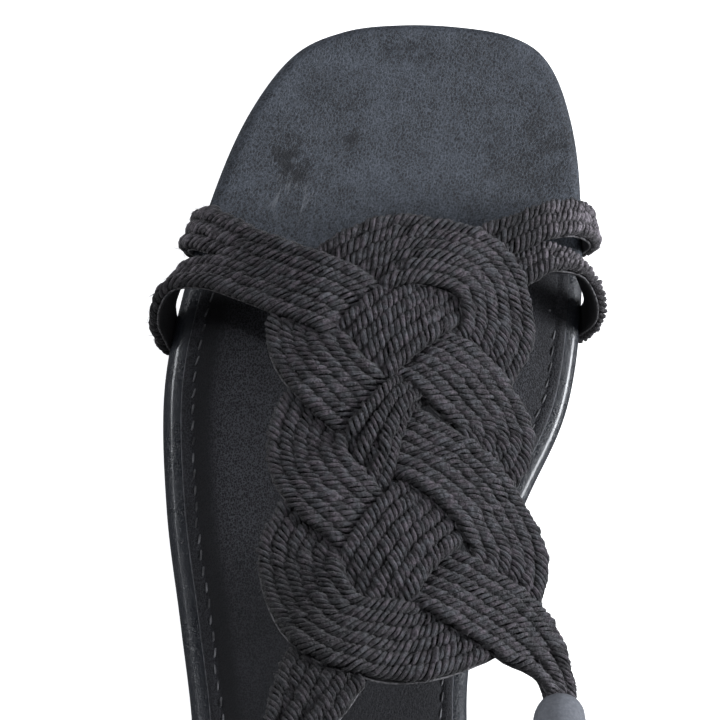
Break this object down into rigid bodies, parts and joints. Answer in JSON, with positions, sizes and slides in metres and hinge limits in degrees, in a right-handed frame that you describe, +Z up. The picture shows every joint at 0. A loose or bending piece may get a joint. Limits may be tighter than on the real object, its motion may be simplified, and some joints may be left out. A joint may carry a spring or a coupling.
{
  "type": "low heel sandal",
  "caption": "Left low heel sandal with square toe, woven cord knot over the instep, slack side arms, rounded footbed rim and soft leather ankle tie.",
  "frame": {"origin": "on the floor under the middle of the bounding box", "axes": "+Y towards the toe, +X towards the inner side of the foot, +Z up"},
  "size_m": [0.097, 0.2504, 0.0983],
  "materials": {
    "sole_rubber": "matte",
    "heel_leather": "satin",
    "tip_rubber": "matte",
    "footbed_leather": "satin",
    "sock_leather": "satin",
    "woven_cord": "matte",
    "tie_leather": "matte"
  },
  "bodies": {
    "root": {"outsole": "sole_rubber", "heel_block": "heel_leather", "heel_tip": "tip_rubber", "footbed": "footbed_leather", "sock_panel": "sock_leather", "upper": "woven_cord", "ankle_tie": "tie_leather"}
  },
  "joints": []
}
